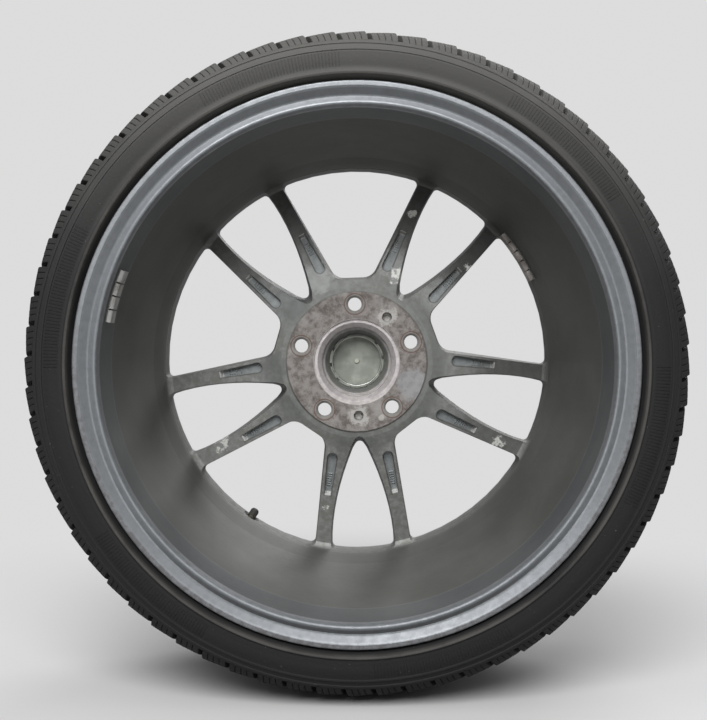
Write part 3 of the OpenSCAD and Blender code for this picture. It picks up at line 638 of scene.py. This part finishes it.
# Each row: its inner and outer edge, stations across it, gap to the next block,
# zigzag of its slits, and wear from toe to heel.
BLOCK_ROWS = (
    (GROOVE_EDGES[1] + ROW_MARGIN, GROOVE_EDGES[2] - ROW_MARGIN, 7, INNER_GAP, ZIGZAG, 0.0),
    (GROOVE_EDGES[3], SHOULDER_EDGE, 10, SHOULDER_GAP, 0.0, HEEL_WEAR))
verts, faces = [], []
for side in (1, -1):
    half_pitch = 0.0 if side > 0 else pitch / 2
    for inner, outer, count, gap, zig, wear_down in BLOCK_ROWS:
        stations = [side * a for a in evenly(inner, outer, count)]
        step = (pitch - gap) / SLICES
        for n in range(SLICES):
            start = half_pitch + gap / 2 + n * step
            end = start + step - (0.0 if n == SLICES - 1 else SLIT)
            worn = [wear_down * (n + end_of) / SLICES for end_of in (0, 1)]
            add_slat(verts, faces, stations, start, end, slanting, zig, worn)
centre_stations = evenly(-GROOVE_EDGES[0], GROOVE_EDGES[0], 8)
for n in range(SLICES):
    start = n * pitch / SLICES
    end = start + pitch / SLICES - (CENTRE_GAP if n == SLICES - 1 else SLIT)
    add_slat(verts, faces, centre_stations, start, end, centre_slanting, ZIGZAG)
one_pitch = as_object("one_pitch", verts, faces, tyre_rubber)


def repeat_round(name, part, count, step, material, group=0, group_step=0.0):
    """Copies of a part round the axle as one mesh, made by Geometry Nodes. With a
    group, each run of that many copies starts group_step on from the last run's start."""
    tree = bpy.data.node_groups.new(name, "GeometryNodeTree")
    tree.interface.new_socket("Geometry", in_out="OUTPUT", socket_type="NodeSocketGeometry")
    sockets = {}
    for label, kind in (("Part", "Object"), ("Count", "Int"), ("Step", "Float"),
                        ("Run", "Int"), ("Run step", "Float"), ("Material", "Material")):
        sockets[label] = tree.interface.new_socket(
            label, in_out="INPUT", socket_type=f"NodeSocket{kind}")
    asked = tree.nodes.new("NodeGroupInput").outputs
    given = tree.nodes.new("NodeGroupOutput")
    link = tree.links.new

    def number(operation, *terms):
        made = tree.nodes.new("ShaderNodeMath")
        made.operation = operation
        for term, socket in zip(terms, made.inputs):
            link(term, socket)
        return made.outputs[0]

    points = tree.nodes.new("GeometryNodePoints")
    link(asked["Count"], points.inputs["Count"])
    index = tree.nodes.new("GeometryNodeInputIndex").outputs[0]
    run = number("FLOOR", number("DIVIDE", index, asked["Run"]))
    within = number("MODULO", index, asked["Run"])
    angle = number("ADD", number("MULTIPLY", within, asked["Step"]),
                   number("MULTIPLY", run, asked["Run step"]))
    spin = tree.nodes.new("ShaderNodeCombineXYZ")
    link(angle, spin.inputs["Y"])
    source = tree.nodes.new("GeometryNodeObjectInfo")
    link(asked["Part"], source.inputs["Object"])
    copies = tree.nodes.new("GeometryNodeInstanceOnPoints")
    link(points.outputs[0], copies.inputs["Points"])
    link(source.outputs["Geometry"], copies.inputs["Instance"])
    link(spin.outputs[0], copies.inputs["Rotation"])
    real = tree.nodes.new("GeometryNodeRealizeInstances")
    link(copies.outputs[0], real.inputs[0])
    painted = tree.nodes.new("GeometryNodeSetMaterial")
    link(real.outputs[0], painted.inputs["Geometry"])
    link(asked["Material"], painted.inputs["Material"])
    link(painted.outputs[0], given.inputs[0])

    holder = bpy.data.objects.new(name, bpy.data.meshes.new(name))
    bpy.context.collection.objects.link(holder)
    made = holder.modifiers.new("round", "NODES")
    made.node_group = tree
    values = {"Part": part, "Count": count, "Step": step, "Run": group or count,
              "Run step": group_step, "Material": material}
    for label, value in values.items():
        made[sockets[label].identifier] = value
    depsgraph = bpy.context.evaluated_depsgraph_get()
    mesh = bpy.data.meshes.new_from_object(holder.evaluated_get(depsgraph))
    holder.modifiers.clear()
    holder.data = mesh
    mesh.name = name
    bpy.data.objects.remove(part)
    return holder


tread = repeat_round("tyre_tread", one_pitch, PITCHES, tau / PITCHES, tyre_rubber)

# The hatched fields: six runs of fine raised ridges on each sidewall, moulded
# in one with the rubber that they stand on.
HATCH_RUNS, HATCH_LINES, HATCH_STEP = 6, 44, radians(0.62)
HATCH_PATH = ((0.2705, 0.1293), (0.2735, 0.12975), (0.2773, 0.1299), (0.281, 0.1295),
              (0.2835, 0.1290))
HATCH_RISE, HATCH_ROOT = 0.00045, -0.0004
HATCH_SECTION = ((-0.0005, HATCH_ROOT), (-0.00025, HATCH_RISE), (0.00025, HATCH_RISE),
                 (0.0005, HATCH_ROOT))
verts, faces = [], []
for side in (1, -1):
    add_bar(verts, faces, [[(r, -side * (h + lift), along) for along, lift in HATCH_SECTION]
                           for r, h in HATCH_PATH])
one_ridge = as_object("one_ridge", verts, faces, tyre_rubber)
hatching = repeat_round("tyre_hatching", one_ridge, HATCH_RUNS * HATCH_LINES, HATCH_STEP,
                        tyre_rubber, HATCH_LINES, tau / HATCH_RUNS)

for piece in (carcass, tread, hatching):
    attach(piece, "wheel_and_tyre")
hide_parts("tyre")

# Cast marks: short bars in rows on the floors of the pockets in the spokes'
# backs. They are part of the casting and carry the same dusty paint.
POCKET_START = (0.096, 0.0285, -0.04323)
POCKET_SLOPE = radians(22.49)
POCKET_DEPTH = 0.007
MARK_ROWS = ((0.0270, 0.0026), (0.0298, 0.0026), (0.0326, 0.0026), (0.0354, 0.0024),
             (0.0382, 0.0024), (0.0410, 0.0022))
MARK_WIDE = 0.0006
MARK_HIGH, MARK_ROOT = 0.0011, -0.0004
MARK_DRAFT, DRAFT_ACROSS = 0.0003, 0.7


def in_pocket(mirror, along, beside, lift):
    """A point on a pocket's floor, turned with its spoke and set on the wheel."""
    above = lift - POCKET_DEPTH
    out = along * cos(POCKET_SLOPE) + above * sin(POCKET_SLOPE)
    height = POCKET_START[2] + above * cos(POCKET_SLOPE) - along * sin(POCKET_SLOPE)
    x = POCKET_START[0] + out * cos(POCKET_TURN) - beside * sin(POCKET_TURN)
    y = mirror * (POCKET_START[1] + out * sin(POCKET_TURN) + beside * cos(POCKET_TURN))
    return (x * cos(PAIR_ANGLE) - y * sin(PAIR_ANGLE), -height,
            x * sin(PAIR_ANGLE) + y * cos(PAIR_ANGLE))


verts, faces = [], []
for mirror in (1, -1):
    for along, half_long in MARK_ROWS:
        rings = []
        for lift, draft in ((MARK_ROOT, 0.0), (MARK_HIGH, MARK_DRAFT)):
            wide, long = MARK_WIDE - draft * DRAFT_ACROSS, half_long - draft
            rings.append([in_pocket(mirror, along + u * wide, v * long, lift)
                          for u, v in ((-1, -1), (1, -1), (1, 1), (-1, 1))])
        add_bar(verts, faces, rings)
pair_marks = as_object("pair_marks", verts, faces, silver_paint)
marks = repeat_round("cast_marks", pair_marks, SPOKE_PAIRS, tau / SPOKE_PAIRS, silver_paint)
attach(marks, "wheel_and_tyre")

# The centre cap: a pale plastic moulding held by its clips, seen from its bare
# back, with the wire ring that spreads the clips and the plain badge in its face.
CAP_DIM, CAP_PALE = (0.2, 0.215, 0.185), (0.32, 0.335, 0.295)
PIP_HIGHLIGHT, SLOT_SHADE = (0.5, 0.51, 0.42), (0.04, 0.045, 0.04)
CLIP_CIRCLE, HALF_CLIP = 0.0262, radians(18.0)
WIRE, BADGE = (0.6, 0.6, 0.58), (0.5, 0.51, 0.53)
moulding = Finish("pale cap moulding")
patch = moulding.noise(60.0, 3.0, 0.5)
clip_slot = (moulding.stripe(moulding.radius, CLIP_CIRCLE, 0.0011, 0.0005)
             * moulding.span(moulding.fold(0.0, HALF_CLIP), radians(5.0), radians(6.5)))
# Painted highlight: a pale spot on the pip at the cap's middle.
cap_colour = moulding.coats(
    CAP_DIM,
    (moulding.span(patch, 0.35, 0.65), CAP_PALE),
    (0.6 * moulding.span(moulding.radius, 0.0036, 0.0014), PIP_HIGHLIGHT),
    (0.85 * clip_slot, SLOT_SHADE))
moulding.relief(patch, 0.0003)
wear("centre_cap", moulding.done(cap_colour, 0.45))
wire = Finish("spring wire")
wire.done(WIRE, 0.3 + 0.2 * wire.noise(300.0), metallic=1.0)
wear("cap_spring_ring", wire.material)
badge = Finish("plain badge")
wear("cap_badge", badge.done(BADGE, 0.25 + 0.15 * badge.noise(120.0), metallic=0.9))

# The valve: a brass stem in a rubber body that is pulled into the rim's hole, a
# screwed core with its seal, pin and spring, and a ribbed plastic cap.
BLACK_RUBBER, RUBBER_GRIME = (0.015, 0.015, 0.015), (0.05, 0.047, 0.043)
BLACK_PLASTIC, PLASTIC_GRIME = (0.012, 0.012, 0.012), (0.04, 0.038, 0.035)
BRASS, TARNISH = (0.62, 0.44, 0.18), (0.38, 0.27, 0.13)
STEM_BRASS, STEM_DIRT = (0.15, 0.12, 0.07), (0.06, 0.055, 0.045)
SEAL_RED, SEAL_DARK = (0.3, 0.05, 0.04), (0.2, 0.04, 0.03)
black = Finish("valve rubber", specular=0.4)
grime = black.noise(200.0, 3.0)
black.done(black.mix(grime, BLACK_RUBBER, RUBBER_GRIME), 0.5 + 0.3 * grime)
wear("valve_rubber", black.material)
wear("valve_cap_seal", black.material)
plastic = Finish("valve cap plastic")
grime = plastic.noise(260.0, 3.0)
plastic.done(plastic.mix(grime, BLACK_PLASTIC, PLASTIC_GRIME), 0.35 + 0.3 * grime)
wear("valve_cap", plastic.material)
brass = Finish("turned brass")
tarnish = brass.noise(300.0, 3.0)
brass.done(brass.mix(tarnish, BRASS, TARNISH), 0.3 + 0.3 * tarnish, metallic=1.0)
wear("valve_core_body", brass.material)
wear("valve_core_pin", brass.material)
stem = Finish("dirty brass")
grime = stem.noise(300.0, 3.0)
stem.done(stem.mix(grime, STEM_BRASS, STEM_DIRT), 0.5 + 0.3 * grime, metallic=0.6)
wear("valve_stem", stem.material)
seal = Finish("core seal")
wear("valve_core_seal", seal.done(seal.mix(seal.noise(400.0), SEAL_RED, SEAL_DARK), 0.6))
wear("valve_core_spring", wire.material)

# The balance weights: bevelled metal tiles on strips of foam tape, pressed on
# by hand. The inboard strip is cleaner than the one behind the disc, whose tiles
# are made here with their ends rounded off.
CLEAN_PALE, CLEAN_DIM = (0.42, 0.42, 0.41), (0.27, 0.25, 0.23)
DIRTY_PALE, DIRTY_DIM = (0.38, 0.35, 0.33), (0.22, 0.195, 0.18)
FOAM_DARK, FOAM_PALE = (0.1, 0.1, 0.095), (0.2, 0.2, 0.19)
coating = Finish("weight coating")
dirt = coating.noise(90.0, 4.0, 0.6)
cleaner = coating.span(coating.x, 0.05, -0.05)
clean_weight = coating.mix(coating.span(dirt, 0.4, 0.75), CLEAN_PALE, CLEAN_DIM)
dirty_weight = coating.mix(coating.span(dirt, 0.35, 0.7), DIRTY_PALE, DIRTY_DIM)
coating.relief(coating.noise(700.0), 0.0002, radius=0.0006)
weight_metal = coating.done(coating.mix(cleaner, dirty_weight, clean_weight),
                            0.4 + 0.3 * dirt, metallic=0.3)
foam = Finish("foam tape")
tape_foam = foam.done(foam.mix(foam.noise(500.0), FOAM_DARK, FOAM_PALE), 0.9)

TILES, TILE_THICK = 5, 0.0046
INNER_R, INNER_H = 0.20501, -0.081
OUTER_R, OUTER_H = 0.20785, -0.070
FIRST_TILE, TILE_STEP, HALF_TILE, BEVEL = (radians(a) for a in (26.3, 3.3, 1.59, 0.3))
# The tile's section as (radius, height, share of the bevel cut from its ends).
TILE_SECTION = ((INNER_R, INNER_H, 1.0), (OUTER_R, OUTER_H, 1.0),
                (OUTER_R - 0.3 * TILE_THICK, OUTER_H, 0.3),
                (OUTER_R - 0.9 * TILE_THICK, OUTER_H - 0.0006, 0.0),
                (OUTER_R - TILE_THICK, OUTER_H - 0.0025, 0.1),
                (INNER_R - 0.7 * TILE_THICK, INNER_H + 0.003, 0.1),
                (INNER_R - 0.6 * TILE_THICK, INNER_H + 0.001, 0.0),
                (INNER_R - 0.3 * TILE_THICK, INNER_H, 0.3))


def tile_end(way):
    angles = [FIRST_TILE + way * (HALF_TILE - cut * BEVEL) for _, _, cut in TILE_SECTION]
    return [round_axle(r, h, angle) for (r, h, _), angle in zip(TILE_SECTION, angles)]


verts, faces = [], []
add_bar(verts, faces, [tile_end(-1), tile_end(1)])
one_tile = as_object("one_tile", verts, faces, weight_metal)
tiles = repeat_round("outer_weights", one_tile, TILES, -TILE_STEP, weight_metal)
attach(tiles, "wheel_and_tyre")
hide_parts(*(f"outer_weight_{n}" for n in range(1, 6)))
for name in cad:
    if name.endswith("_weight_tape"):
        wear(name, tape_foam)
    elif "_weight_" in name:
        wear(name, weight_metal)
